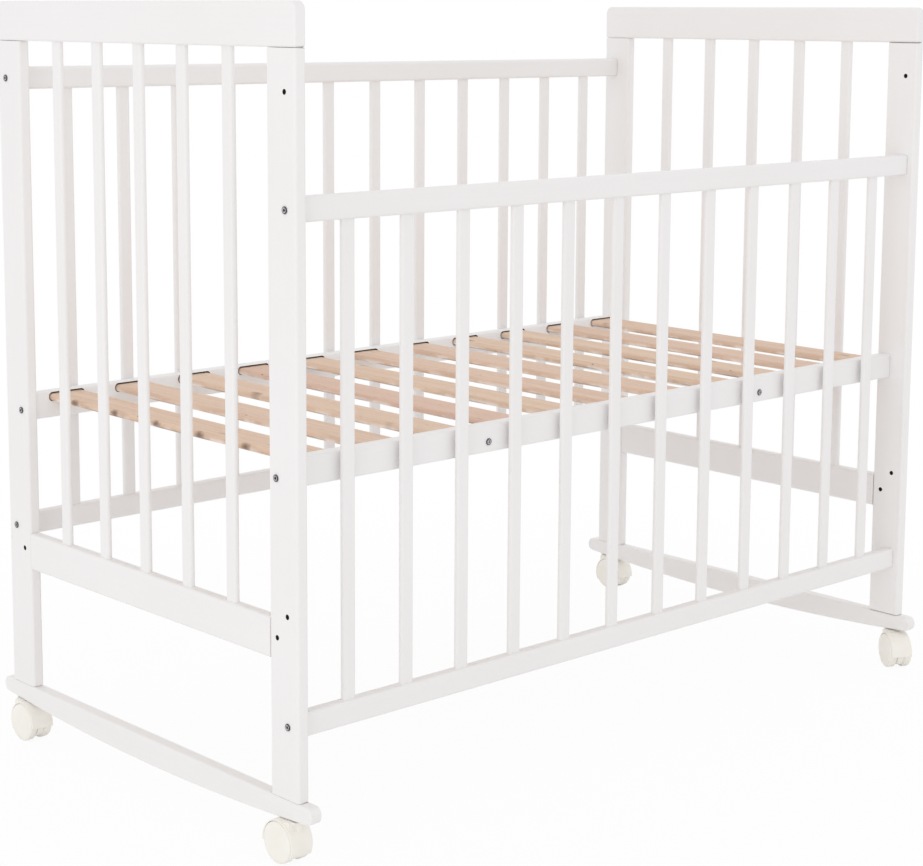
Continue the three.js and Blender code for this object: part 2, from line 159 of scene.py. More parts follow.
def surface(board, sockets):
    shader = board.node("ShaderNodeBsdfPrincipled", {}, sockets)
    board.node("ShaderNodeOutputMaterial", {}, {"Surface": shader})


def objectPlace(board):
    return board.node("ShaderNodeTexCoord", {}, {}, "Object")


def light(red, green, blue):
    # screen colour from 0 to 255 as a share of light
    share = np.array([red, green, blue]) / 255
    share = np.where(share <= 0.04045, share / 12.92, ((share + 0.055) / 1.055) ** 2.4)
    return (*share.tolist(), 1.0)


def alongAxis(axis, along, across):
    return tuple(along if name == axis else across for name in "xyz")


paint = {
    "colour": light(245, 243, 243),
    "shade": light(241, 239, 238),
    "roughness": 0.36,
    "roughGrain": 0.14,  # what the grain and the bare wood add to the roughness
    "roughBare": 0.3,
    "grainAlong": 5,  # this and the next five are features per metre
    "grainAcross": 240,
    "poreAlong": 45,
    "poreAcross": 1300,
    "peelScale": 520,
    "toneScale": 3.2,
    "bumpStrength": 0.5,
    "bumpDepth": 0.12,
    "bare": light(62, 46, 36),  # bare wood darkened as painted shade inside bores and slots and in the joint gaps
}


# White lacquer: faint grain that runs along the board, closed pores and orange peel, and bare
# wood darkened as painted shade in bores, slots and joints
def paintedWood(axis):
    material, board = newMaterial(f"paintAlong{axis.upper()}")
    place = objectPlace(board)
    grain = place.stretched(
        alongAxis(axis, paint["grainAlong"], paint["grainAcross"])).noise(1, 4, 0.6, 0.3)
    pores = place.stretched(
        alongAxis(axis, paint["poreAlong"], paint["poreAcross"])).noise(1, 2).slope(0.66, 0.8)
    peel = place.noise(paint["peelScale"], 2)
    tone = place.noise(paint["toneScale"], 3).slope(0.3, 0.7)
    # painted shade: bare wood darkened where bores, slots and joint gaps lie in shade
    raw = board.node("ShaderNodeAttribute", {"attribute_name": "raw"}, {}, "Fac")
    colour = (0.6 * tone + 0.4 * grain).between(paint["colour"], paint["shade"])
    surface(board, {
        "Base Color": raw.between(colour, paint["bare"]),
        "Roughness": (paint["roughness"] + paint["roughGrain"] * grain
                      + paint["roughBare"] * raw),
        "Normal": (grain + 0.5 * peel - 0.5 * pores).bump(paint["bumpStrength"],
                                                          paint["bumpDepth"]),
        "IOR": 1.47,
    })
    return material


wood = {
    "early": light(234, 210, 190),
    "late": light(204, 169, 144),
    "pink": light(226, 188, 169),
    "yellow": light(232, 204, 177),
    "knot": light(112, 80, 62),
    "pale": light(250, 236, 226),
    "slatPitch": 110.2,
    "firstSlat": -5,
    "pith": (60, 486),  # beside the slat's middle and above the floor
    "pithWander": 0.05,  # metres
    "ringPhase": 1150,  # radians per metre from the pith
    "fibre": (900, 16, 900),  # this and the next four are features per metre
    "pores": (1500, 70, 1500),
    "specks": (170, 62, 170),
    "streaks": (60, 1.5),
    "knots": (34, 13),
    "rowStep": 97.8,  # knots along the near edge of the first slat
    "rowPlace": (-28, 21, 496),
    "rowSize": (6.5, 10.5, 6),
    "paintedEdgeShade": (494, 498.5),  # painted edge shade, bark edge and painted shadow line: each fades out between these heights
    "waneEdge": (494, 498),
    "paintedShadowLine": (492.6, 494.2),
    "roughness": 0.52,
    "bumpStrength": 0.55,
    "bumpDepth": 0.16,
}


# Points scattered evenly over a course: how far the nearest is, and a number that is its own
def scattered(course):
    cells = {"voronoi_dimensions": "3D", "feature": "F1"}
    sockets = {"Vector": course, "Scale": 1.0, "Randomness": 1.0}
    distance = course.node("ShaderNodeTexVoronoi", cells, sockets, "Distance")
    return distance, course.node("ShaderNodeTexVoronoi", cells, sockets, "Color").part(0)


# A row of knots: 1 inside an ellipsoid round each of its places, ragged at the rim
def knotRow(board, place, across, y, z):
    rowX, rowY, rowZ = (number * metre for number in wood["rowPlace"])
    wide, long, tall = (number * metre for number in wood["rowSize"])
    step = wood["rowStep"] * metre
    beat = board.math("FRACT", (y - rowY) * (1 / step) + 0.5) - 0.5
    course = board.combine((across - rowX) * (1 / wide), beat * (step / long),
                           (z - rowZ) * (1 / tall))
    distance = course.length() + 0.9 * place.noise(150, 3)
    return 1 - distance.slope(0.75, 1.6)


# Bare softwood slats along y: rings, fibres, pores and a few small knots, each slat its own
def bareWood():
    material, board = newMaterial("bareWood")
    place = objectPlace(board)
    x, y, z = (place.part(axis) for axis in range(3))
    slat = board.math("ROUND", x * (1 / (wood["slatPitch"] * metre)))
    chance = board.node("ShaderNodeTexWhiteNoise", {"noise_dimensions": "1D"},
                        {"W": slat}, "Color")
    first, second, third = (chance.part(axis) for axis in range(3))
    across = x - slat * (wood["slatPitch"] * metre)

    # rings: distance from a pith that wanders as it runs along the slat
    course = board.combine(y * 1.6, 9 * first, slat)
    wander = course.noise(1.3, 3, 0.55)
    pithSide, pithHeight = (number * metre for number in wood["pith"])
    sideways = across + wood["pithWander"] * wander + 0.07 * first - pithSide
    deep = z - pithHeight + 0.02 * second
    ringRadius = board.math("SQRT", sideways * sideways + deep * deep)
    wave = board.math("SINE", ringRadius * wood["ringPhase"] + 5 * wander)
    late = (0.5 * wave + 0.5).slope(0.35, 1.0)

    # fibres, short pores and streaks
    fibre = place.stretched(wood["fibre"]).noise(1, 4, 0.65)
    pore = place.stretched(wood["pores"]).noise(1, 2).slope(0.62, 0.72)
    wide, long = wood["streaks"]
    streak = board.combine(x * wide, y * long, 7 * slat).noise(1, 3).slope(0.42, 0.78)

    # scattered knots, longer along the slat, dark specks, and the first slat's row of knots
    wide, long = wood["knots"]
    distance, cell = scattered(board.combine(x * wide, y * long + 5 * second, slat * 3.7))
    knot = (1 - (distance + 0.10 * fibre).slope(0.10, 0.26)) * cell.slope(0.80, 0.82)
    distance, cell = scattered(place.stretched(wood["specks"]))
    speck = (1 - distance.slope(0.08, 0.2)) * cell.slope(0.95, 0.96)
    isFirst = 1 - (slat - wood["firstSlat"]).slope(0.4, 0.6)
    rowKnot = knotRow(board, place, across, y, z) * isFirst

    # lower part of the edges: painted shade on some slats, pale bark edge, and a painted shadow
    # line
    edgeShade, wane, dark = (
        1 - z.slope(*(height * metre for height in wood[part]))
        for part in ("paintedEdgeShade", "waneEdge", "paintedShadowLine"))
    edgeShade = edgeShade * first.slope(0.2, 0.6)
    wane = course.noise(14, 3).slope(0.45, 0.6) * wane
    dark = dark * board.combine(y * 9, slat * 2.3, 0.0).noise(1, 2).slope(0.48, 0.56)

    tint = third.between(wood["pink"], wood["yellow"])
    base = (0.5 * late).between(tint, wood["late"])
    base = (0.35 * fibre + 0.2 * second).between(base, wood["early"])
    base = (0.34 * streak).between(base, wood["late"])
    base = (0.35 * pore).between(base, wood["knot"])
    base = (0.45 * edgeShade).between(base, wood["late"])
    base = (0.85 * wane).between(base, wood["pale"])
    base = (0.5 * dark).between(base, wood["knot"])
    base = board.math("MAXIMUM", 0.8 * rowKnot, 0.75 * speck).between(base, wood["knot"])
    surface(board, {
        "Base Color": (0.85 * knot).between(base, wood["knot"]),
        "Roughness": wood["roughness"] + 0.16 * fibre - 0.08 * late,
        "Normal": (0.6 * fibre + 0.5 * late - 0.8 * pore).bump(wood["bumpStrength"],
                                                               wood["bumpDepth"]),
        "IOR": 1.45,
    })
    return material


plastic = {
    "colour": light(249, 246, 239),
    "shade": light(244, 240, 231),
    "dust": light(236, 231, 220),
    "treadRadius": 26.3,
    "ringPhase": 5.5,  # radians per millimetre
    "moulded": 1900,  # this and the next two are features per metre
    "clouds": 38,
    "scuffs": 160,
    "roughness": 0.34,
    "bumpStrength": 0.35,
    "bumpDepth": 0.06,
}


# Cream nylon: fine moulded texture, a turned sheen and a little dust on the treads
def creamPlastic():
    material, board = newMaterial("creamPlastic")
    place = objectPlace(board)
    turned = board.node("ShaderNodeAttribute", {"attribute_name": "turned"}, {}, "Vector")
    radius = turned.part(1)
    cloudy = place.noise(plastic["clouds"], 3).slope(0.35, 0.7)
    moulded = place.noise(plastic["moulded"], 2)
    ring = board.math("SINE", radius * plastic["ringPhase"])
    scuff = place.noise(plastic["scuffs"], 4, 0.7).slope(0.5, 0.75)
    tread = radius.slope(plastic["treadRadius"] - 0.5, plastic["treadRadius"]) * scuff
    colour = (0.7 * cloudy).between(plastic["colour"], plastic["shade"])
    surface(board, {
        "Base Color": (0.6 * tread).between(colour, plastic["dust"]),
        "Roughness": plastic["roughness"] + 0.1 * cloudy + 0.2 * tread,
        "Normal": (moulded + 0.1 * ring + 0.5 * tread).bump(plastic["bumpStrength"],
                                                            plastic["bumpDepth"]),
        "IOR": 1.5,
    })
    return material


steel = {
    "bright": light(188, 188, 191),
    "stained": light(160, 160, 162),
    "dark": light(74, 74, 77),  # painted shade in the socket and round the edge of the head, outside the rim
    "rim": (3.35, 3.65),  # radii between which each begins
    "socket": (1.65, 1.95),
    "ringPhase": 28,  # radians per millimetre
    "stains": 420,  # this and the next are features per metre
    "flecks": 2600,
    "roughness": 0.3,
    "bumpStrength": 0.4,
    "bumpDepth": 0.03,
}


# Zinc plated steel: turned rings, a dull, slightly stained plating, and painted shade in the
# socket and round the edge of the head
def plateSteel():
    material, board = newMaterial("zincSteel")
    place = objectPlace(board)
    turned = board.node("ShaderNodeAttribute", {"attribute_name": "turned"}, {}, "Vector")
    radius = turned.part(1)
    ring = board.math("SINE", (radius + turned.part(0)) * steel["ringPhase"])
    stain = place.noise(steel["stains"], 3).slope(0.4, 0.65)
    fleck = place.noise(steel["flecks"], 2)
    # painted shade: dark in the socket and outside the rim of the head
    rim, socket = radius.slope(*steel["rim"]), 1 - radius.slope(*steel["socket"])
    face = stain.between(steel["bright"], steel["stained"])
    surface(board, {
        "Base Color": board.math("MAXIMUM", rim, socket).between(face, steel["dark"]),
        "Metallic": 1.0,
        "Roughness": steel["roughness"] + 0.14 * stain,
        "Normal": (ring + 0.6 * fleck).bump(steel["bumpStrength"], steel["bumpDepth"]),
    })
    return material


paintAlong = {axis: paintedWood(axis) for axis in "xyz"}
slatWood = bareWood()
nylon = creamPlastic()
zinc = plateSteel()

print("shapes")

# Corner of an outline: centre plus radius times the direction of each angle, with one
# more point on the flat before and after it. Gives points and outward directions.
def cornerArc(centre, radius, start, end, steps, lead):
    angle = np.radians(np.linspace(start, end, steps + 1))
    direction = np.stack([np.cos(angle), np.sin(angle)], 1)
    point = np.array(centre) + radius * direction
    tangent = np.stack([-direction[:, 1], direction[:, 0]], 1)
    before, after = point[:1] - lead * tangent[:1], point[-1:] + lead * tangent[-1:]
    points = np.vstack([before, point, after])
    return points, np.vstack([direction[:1], direction, direction[-1:]])


def joinedOutline(arcs):
    return np.vstack([arc[0] for arc in arcs]), np.vstack([arc[1] for arc in arcs])


# Rectangle round the origin with rounded corners, anticlockwise
def roundedSection(width, height, upper, lower=None, steps=6, lead=0.4):
    lower = upper if lower is None else lower
    right, top = width / 2, height / 2
    return joinedOutline([
        cornerArc((right - lower, lower - top), lower, -90, 0, steps, lead),
        cornerArc((right - upper, top - upper), upper, 0, 90, steps, lead),
        cornerArc((upper - right, top - upper), upper, 90, 180, steps, lead),
        cornerArc((lower - right, lower - top), lower, 180, 270, steps, lead),
    ])


# Places along a piece and how far the outline is pulled in there. Each end is eased by a
# quarter circle: place = ease (1 - cos t), pull = ease (1 - sin t), t up to a quarter turn.
def easedEnds(length, ease, steps=4, lead=0.4):
    bend = np.linspace(0, np.pi / 2, steps + 1)
    place = np.concatenate([[0.0], ease * (1 - np.cos(bend)), [ease + lead]])
    pull = np.concatenate([[ease + lead], ease * (1 - np.sin(bend)), [0.0]])
    place = np.concatenate([place - length / 2, (length / 2 - place)[::-1]])
    return place, np.concatenate([pull, pull[::-1]])


# Closed skin over a grid of rings, with a flat face on its first and last ring
def skin(grid, turned=None):
    rows, columns = grid.shape[:2]
    number = np.arange(rows * columns).reshape(rows, columns)
    ahead = np.roll(number, -1, axis=1)
    quads = np.stack([number[:-1], ahead[:-1], ahead[1:], number[1:]], -1).reshape(-1, 4)
    return {
        "points": grid.reshape(-1, 3),
        "faces": quads.tolist() + [number[0][::-1].tolist(), number[-1].tolist()],
        "turned": None if turned is None else turned.reshape(-1, 3),
    }


axisOrder = {"x": [2, 0, 1], "y": [1, 2, 0], "z": [0, 1, 2]}


# Outline carried along an axis: point = outline point - pull x outward direction, moved
# to each place. The outline lies in y and z, z and x, or x and y for the axes x, y and z.
def sweep(axis, outline, ends, centre=(0, 0, 0)):
    points, directions = outline
    place, pull = ends
    ring = points[None] - pull[:, None, None] * directions[None]
    along = np.broadcast_to(place[:, None, None], ring.shape[:2] + (1,))
    grid = np.concatenate([ring, along], 2)[..., axisOrder[axis]]
    return skin(grid + np.array(centre, float))


# Profile of radius and height pairs turned round an axis: point = radius (cos a, sin a)
# and the height. A second profile of shares makes a ring six sided, as in a socket.
def turn(axis, profile, sides=48, hexShare=None, centre=(0, 0, 0)):
    radius, height = np.array(profile, float).T
    angle = np.arange(sides) * 2 * np.pi / sides
    hexagon = np.cos(np.pi / 6) / np.cos(np.mod(angle, np.pi / 3) - np.pi / 6)
    share = np.zeros(len(radius)) if hexShare is None else np.array(hexShare, float)
    reach = radius[:, None] * (1 + share[:, None] * (hexagon[None] - 1))
    level = np.broadcast_to(height[:, None], reach.shape)
    grid = np.stack([reach * np.cos(angle), reach * np.sin(angle), level], -1)
    rings = np.stack([level, np.broadcast_to(radius[:, None], reach.shape), 0 * level], -1)
    return skin(grid[..., axisOrder[axis]] + np.array(centre, float), rings)


def moved(shape, degrees=0.0, offset=(0, 0, 0)):
    # turned about the z axis, then shifted
    cosine, sine = np.cos(np.radians(degrees)), np.sin(np.radians(degrees))
    turning = np.array([[cosine, sine, 0], [-sine, cosine, 0], [0, 0, 1]])
    return {**shape, "points": shape["points"] @ turning + np.array(offset, float)}


def meshOf(name, shape, material):
    mesh = bpy.data.meshes.new(name)
    mesh.from_pydata((shape["points"] * metre).tolist(), [], shape["faces"])
    if shape["turned"] is not None:
        rings = mesh.attributes.new("turned", "FLOAT_VECTOR", "POINT")
        rings.data.foreach_set("vector", shape["turned"].astype(np.float32).ravel())
    mesh.materials.append(material)
    mesh.update()
    return mesh


def newObject(name, shape, material):
    made = bpy.data.objects.new(name, meshOf(name, shape, material))
    bpy.context.scene.collection.objects.link(made)
    return made


# Adds or cuts away closed shapes, each with its own material, and keeps the result
def combined(target, operation, shapes, material):
    for shape in shapes:
        tool = newObject("tool", shape, material)
        change = target.modifiers.new("change", "BOOLEAN")
        change.operation, change.solver, change.object = operation, "MANIFOLD", tool
        change.material_mode = "TRANSFER"
        reading = bpy.context.evaluated_depsgraph_get()
        mesh = bpy.data.meshes.new_from_object(target.evaluated_get(reading))
        target.modifiers.clear()
        target.data = mesh
        bpy.data.objects.remove(tool)
    return target


def together(shapes):
    starts = np.cumsum([0] + [len(shape["points"]) for shape in shapes])
    faces = [[corner + int(start) for corner in face]
             for shape, start in zip(shapes, starts) for face in shape["faces"]]
    return {"points": np.vstack([shape["points"] for shape in shapes]), "faces": faces,
            "turned": None}


def smoothShaded(piece, sharpAngle=38):
    mesh = piece.data
    mesh.polygons.foreach_set("use_smooth", np.ones(len(mesh.polygons), bool))
    mesh.set_sharp_from_angle(angle=np.radians(sharpAngle))
    mesh.update()
    return piece


def handIn(piece, body, node=None):
    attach(smoothShaded(piece), body)
    if node:
        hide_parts(node)
    return piece


def pieceName(node):
    first, *rest = node.split("_")
    return first + "".join(word.capitalize() for word in rest)


print("end frames")

endFrame = {
    "x": 610.5,
    "thickness": 17,
    "ease": 1,
    "jointLine": 0.5,  # bare wood with painted shade of the joint reaches this far from a post's two ends
    "jointInside": 3,  # this dark line of bare wood and painted shade shows on this much of the board's thickness
    "jointOutside": 328,  # and beyond this distance from the middle of the crib
    "postY": 302.5,
    "postDepth": 55,
    "postRadius": 4,
    "postFoot": 82.19,
    "postTop": 994.19,
    "holeRadius": 3.5,
    "railHoleY": 310,
    "bedHoleY": 290,
    "frontHoles": (175.19, 313.19, 805.19, 943.19),
    "backHoles": (313.19, 943.19),
    "bedHoles": (283.19, 481.19),
    "topRail": {"width": 660, "bottom": 994.49, "top": 1048.49, "corner": 11, "edge": 3},
    "lowerRail": {"length": 549.4, "bottom": 254.19, "top": 306.19},
    "slatY": (-190, -95, 0, 95, 190),
    "slat": {"width": 20, "thickness": 8, "radius": 3.5, "top": 1004.49, "tenon": 20},
    "runner": {"halfLength": 354, "top": 81.89, "middle": 36, "end": 21, "corner": 10,
               "edge": 1.8},
}


def pointsOf(piece):
    place = np.empty(len(piece.data.vertices) * 3)
    piece.data.vertices.foreach_get("co", place)
    return place.reshape(-1, 3) / metre


# Bare wood without paint, darkened as painted shade, as in bores, slots and joint gaps: the
# mask is 1 on these points
def markBareAndShade(piece, chosen):
    raw = piece.data.attributes.new("raw", "FLOAT", "POINT")
    raw.data.foreach_set("value", chosen.astype(np.float32))


def uprightSlat(width, depth, radius, bottom, top, x, y):
    middle = (bottom + top) / 2
    return sweep("z", roundedSection(width, depth, radius, steps=5, lead=0.2),
                 easedEnds(top - bottom, 0.4, lead=0.1), (x, y, middle))


def endX(end):
    return -endFrame["x"] if end == "left" else endFrame["x"]


def makePost(row, end):
    x, side = endX(end), -1 if row == "front" else 1
    foot, top = endFrame["postFoot"], endFrame["postTop"]
    outline = roundedSection(endFrame["thickness"], endFrame["postDepth"],
                             endFrame["postRadius"])
    board = sweep("z", outline, easedEnds(top - foot, endFrame["ease"]),
                  (x, side * endFrame["postY"], (foot + top) / 2))
    rises = endFrame["frontHoles"] if row == "front" else endFrame["backHoles"]
    spots = [(side * endFrame["railHoleY"], rise) for rise in rises]
    spots += [(side * endFrame["bedHoleY"], rise) for rise in endFrame["bedHoles"]]
    radius, reach = endFrame["holeRadius"], endFrame["thickness"]
    wall = reach / 2 - 0.5  # the bare wood and painted shade of a hole begin here
    profile = [(0.2, -reach), (radius, -reach), (radius, -wall), (radius, wall),
               (radius, reach), (0.2, reach)]
    holes = [turn("x", profile, 28, centre=(x, y, z)) for y, z in spots]
    node = f"post_{row}_{end}"
    piece = newObject(pieceName(node), board, paintAlong["z"])
    combined(piece, "DIFFERENCE", [together(holes)], paintAlong["z"])
    # painted shade: bare wood darkened in the bores and along the joints at the post's ends
    place = pointsOf(piece)
    near = [np.hypot(place[:, 1] - y, place[:, 2] - z) < radius + 0.1 for y, z in spots]
    bored = np.any(near, axis=0) & (np.abs(place[:, 0] - x) < wall + 0.1)
    ends = np.minimum(place[:, 2] - foot, top - place[:, 2]) < endFrame["jointLine"]
    inwards = endFrame["x"] - np.abs(place[:, 0])
    inside = (inwards > reach / 2 - endFrame["jointInside"]) & (row == "front")
    outside = (inwards > 0) & (place[:, 1] < -endFrame["jointOutside"])
    markBareAndShade(piece, bored | (ends & (inside | outside)))
    handIn(piece, "frame", node)


def makeEndTopRail(end):
    rail, x = endFrame["topRail"], endX(end)
    height = rail["top"] - rail["bottom"]
    outline = roundedSection(rail["width"], height, rail["corner"], 4, 9, 0.6)
    board = sweep("x", outline, easedEnds(endFrame["thickness"], rail["edge"], 6),
                  (x, 0, (rail["top"] + rail["bottom"]) / 2))
    node = f"end_top_rail_{end}"
    handIn(newObject(pieceName(node), board, paintAlong["y"]), "frame", node)


def makeEndSlatFrame(end):
    rail, slat, x = endFrame["lowerRail"], endFrame["slat"], endX(end)
    height = rail["top"] - rail["bottom"]
    outline = roundedSection(height, endFrame["thickness"], endFrame["postRadius"])
    board = sweep("y", outline, easedEnds(rail["length"], 0.6),
                  (x, 0, (rail["top"] + rail["bottom"]) / 2))
    slats = [uprightSlat(slat["thickness"], slat["width"], slat["radius"],
                         rail["top"] - slat["tenon"], slat["top"], x, y)
             for y in endFrame["slatY"]]
    node = f"end_slat_frame_{end}"
    piece = newObject(pieceName(node), board, paintAlong["y"])
    combined(piece, "UNION", [together(slats)], paintAlong["z"])
    handIn(piece, "frame", node)


# Runner outline: a flat top, round ends and one long arc below. The end circles touch the
# arc from inside, so their centres lie at its radius less theirs from its centre.
def runnerOutline(runner):
    half, corner = runner["halfLength"], runner["corner"]
    drop = runner["middle"] - runner["end"]
    arcRadius = (half ** 2 + drop ** 2) / (2 * drop)
    arcCentre = runner["top"] - runner["middle"] + arcRadius
    endY = half - corner
    endZ = arcCentre - np.sqrt((arcRadius - corner) ** 2 - endY ** 2)
    lean = np.degrees(np.arcsin(endY / (arcRadius - corner)))
    reach = lean - np.degrees(0.8 / arcRadius)  # the arc's points stop short of the circles
    upperZ = runner["top"] - corner
    return joinedOutline([
        cornerArc((0, arcCentre), arcRadius, -90 - reach, -90 + reach, 40, 0.3),
        cornerArc((endY, endZ), corner, -90 + lean, 0, 8, 0.2),
        cornerArc((endY, upperZ), corner, 0, 90, 8, 0.4),
        cornerArc((-endY, upperZ), corner, 90, 180, 8, 0.4),
        cornerArc((-endY, endZ), corner, 180, 270 - lean, 8, 0.2),
    ])


def makeRunner(end):
    runner = endFrame["runner"]
    board = sweep("x", runnerOutline(runner),
                  easedEnds(endFrame["thickness"], runner["edge"], 6, 0.5), (endX(end), 0, 0))
    node = f"runner_{end}"
    handIn(newObject(pieceName(node), board, paintAlong["y"]), "frame", node)


for end in ("left", "right"):
    for row in ("front", "back"):
        makePost(row, end)
    makeEndTopRail(end)
    makeEndSlatFrame(end)
    makeRunner(end)

print("side panels")

sidePanel = {
    "length": 1203.4,
    "y": 310,
    "thickness": 18,
    "height": 31,
    "radius": 4,
    "ease": 0.8,
    "pitch": 630,
    "lowerZ": {"front": 175.19, "back": 313.19},
    "slatX": [(index - 5.5) * 95.364 for index in range(12)],
    "slat": {"width": 20, "thickness": 8, "radius": 3.5, "tenon": 10},
}


def sideRail(y, z):
    outline = roundedSection(sidePanel["thickness"], sidePanel["height"], sidePanel["radius"])
    return sweep("x", outline, easedEnds(sidePanel["length"], sidePanel["ease"]), (0, y, z))


def makeSidePanel(side):
    y = -sidePanel["y"] if side == "front" else sidePanel["y"]
    lowerZ = sidePanel["lowerZ"][side]
    upperZ = lowerZ + sidePanel["pitch"]
    slat, half = sidePanel["slat"], sidePanel["height"] / 2
    bottom, top = lowerZ + half - slat["tenon"], upperZ - half + slat["tenon"]
    slats = [uprightSlat(slat["width"], slat["thickness"], slat["radius"], bottom, top, x, y)
             for x in sidePanel["slatX"]]
    node = f"{side}_slat_panel"
    piece = newObject(pieceName(node), sideRail(y, lowerZ), paintAlong["x"])
    combined(piece, "UNION", [together(slats)], paintAlong["z"])
    handIn(piece, "frame", node)
    node = f"{side}_top_rail"
    piece = newObject(pieceName(node), sideRail(y, upperZ), paintAlong["x"])
    handIn(piece, "frame", node)


for side in ("front", "back"):
    makeSidePanel(side)

print("bed base")

bedBase = {
    "railY": 290,
    "railThickness": 20,
    "railBottom": 467.19,
    "railTop": 504.19,
    "railRadius": 2.2,
    "slatX": [(index - 5) * 110.2 for index in range(11)],
    "slatZ": 495.99,
    "slat": {"width": 55, "thickness": 10, "radius": 4.6, "length": 583},
    "slot": {"width": 58.8, "height": 13, "radius": 5.8, "depth": 12, "z": 496.7,
             "paint": 0.6},  # the paint reaches this far into a slot
    "crossbarX": (-277, 277),
    "crossbar": {"size": 18, "radius": 2.2, "length": 559.4, "z": 481.19},
}


def makeBedRail(side):
    sign = -1 if side == "front" else 1
    y = sign * bedBase["railY"]
    bottom, top = bedBase["railBottom"], bedBase["railTop"]
    outline = roundedSection(bedBase["railThickness"], top - bottom, bedBase["railRadius"],
                             steps=4)
    board = sweep("x", outline, easedEnds(sidePanel["length"], 0.6), (0, y, (bottom + top) / 2))
    slot, half = bedBase["slot"], bedBase["railThickness"] / 2
    face = y - sign * half
    reach = np.array([-slot["depth"], -slot["paint"], slot["depth"]])
    reach = reach if sign < 0 else -reach[::-1]
    slotOutline = roundedSection(slot["height"], slot["width"], slot["radius"],
                                 steps=7, lead=0.1)
    slots = [sweep("y", slotOutline, (reach, np.zeros(3)), (x, face, slot["z"]))
             for x in bedBase["slatX"]]
    node = f"bed_rail_{side}"
    piece = newObject(pieceName(node), board, paintAlong["x"])
    combined(piece, "DIFFERENCE", [together(slots)], paintAlong["x"])
    place = pointsOf(piece)
    # only the points on the walls of the slots lie at these two depths
    offset = np.abs(place[:, 1] - y)
    inside = (offset < 3) | (np.abs(offset - half + slot["paint"]) < 0.03)
    # painted shade: bare wood darkened on the walls of the slots
    markBareAndShade(piece, inside & (np.abs(place[:, 2] - slot["z"]) < slot["height"] / 2 + 0.1))
    handIn(piece, "frame", node)


def makeBedSlat(index, x):
    slat = bedBase["slat"]
    outline = roundedSection(slat["thickness"], slat["width"], slat["radius"], lead=0.3)
    node = f"bed_slat_{index + 1:02d}"
    piece = newObject(pieceName(node), sweep("y", outline, easedEnds(slat["length"], 0.8),
                                             (x, 0, bedBase["slatZ"])), slatWood)
    handIn(piece, "frame", node)


def makeCrossbar(index, x):
    bar = bedBase["crossbar"]
    outline = roundedSection(bar["size"], bar["size"], bar["radius"])
    node = f"bed_crossbar_{index + 1}"
    piece = newObject(pieceName(node), sweep("y", outline, easedEnds(bar["length"], 0.6),
                                             (x, 0, bar["z"])), paintAlong["y"])
    handIn(piece, "frame", node)


for side in ("front", "back"):
    makeBedRail(side)
for index, x in enumerate(bedBase["slatX"]):
    makeBedSlat(index, x)
for index, x in enumerate(bedBase["crossbarX"]):
    makeCrossbar(index, x)

print("bolts")

bolt = {
    "headRadius": 4.6,
    "headHeight": 1.3,
    "round": 0.7,
    "shankRadius": 3,
    "socketRadius": 1.6,
    "socketDepth": 2.2,
    "rimRadius": 3.5,  # the head carries painted shade outside this radius
    "seatX": 619.3,
    "length": 45.6,
    "crossbarLength": 14,
    "crossbarGap": 0.1,  # between the bed rail and the head of a crossbar's bolt
}


# Socket head screw along +x with the underside of its head at 0
def boltShape(length):
    head, rounding = bolt["headRadius"], bolt["round"]
    top, socket = bolt["headHeight"], bolt["socketRadius"]
    bend = np.linspace(0, np.pi / 2, 5)
    shoulder = [(head - rounding + rounding * np.cos(t), top - rounding + rounding * np.sin(t))
                for t in bend]
    rim = bolt["rimRadius"]
    profile = [(0.3, -length), (bolt["shankRadius"] - 0.6, -length),
               (bolt["shankRadius"], 0.6 - length), (bolt["shankRadius"], 0), (head - 0.3, 0),
               (head, 0.3), *shoulder, (rim + 0.15, top), (rim - 0.15, top),
               (socket + 0.35, top), (socket, top - 0.35),
               (socket, top - bolt["socketDepth"]), (0.3, top - bolt["socketDepth"] - 0.5)]
    hexShare = [0] * (len(profile) - 3) + [1, 1, 1]
    return turn("x", profile, 48, hexShare)


def makeBolt(name, degrees, place, length, node=None):
    shape = moved(boltShape(length), degrees, place)
    handIn(newObject(name, shape, zinc), "frame", node)


for side, sign in (("front", -1), ("back", 1)):
    lowerZ = sidePanel["lowerZ"][side]
    heights = {
        "top": (sidePanel["y"], lowerZ + sidePanel["pitch"]),
        "bottom": (sidePanel["y"], lowerZ),
        "bed": (bedBase["railY"], bedBase["crossbar"]["z"]),
    }
    for place, (y, z) in heights.items():
        for number, end in ((1, sign), (2, -sign)):
            node = f"bolt_{side}_{place}_{number}"
            makeBolt(pieceName(node), 0 if end > 0 else 180,
                     (end * bolt["seatX"], sign * y, z), bolt["length"], node)
    seatY = bedBase["railY"] + bedBase["railThickness"] / 2 + bolt["crossbarGap"]
    for index, x in enumerate(bedBase["crossbarX"]):
        makeBolt(f"crossbarBolt{side.capitalize()}{index + 1}", 90 * sign,
                 (x, sign * seatY, bedBase["crossbar"]["z"]), bolt["crossbarLength"])

print("casters")

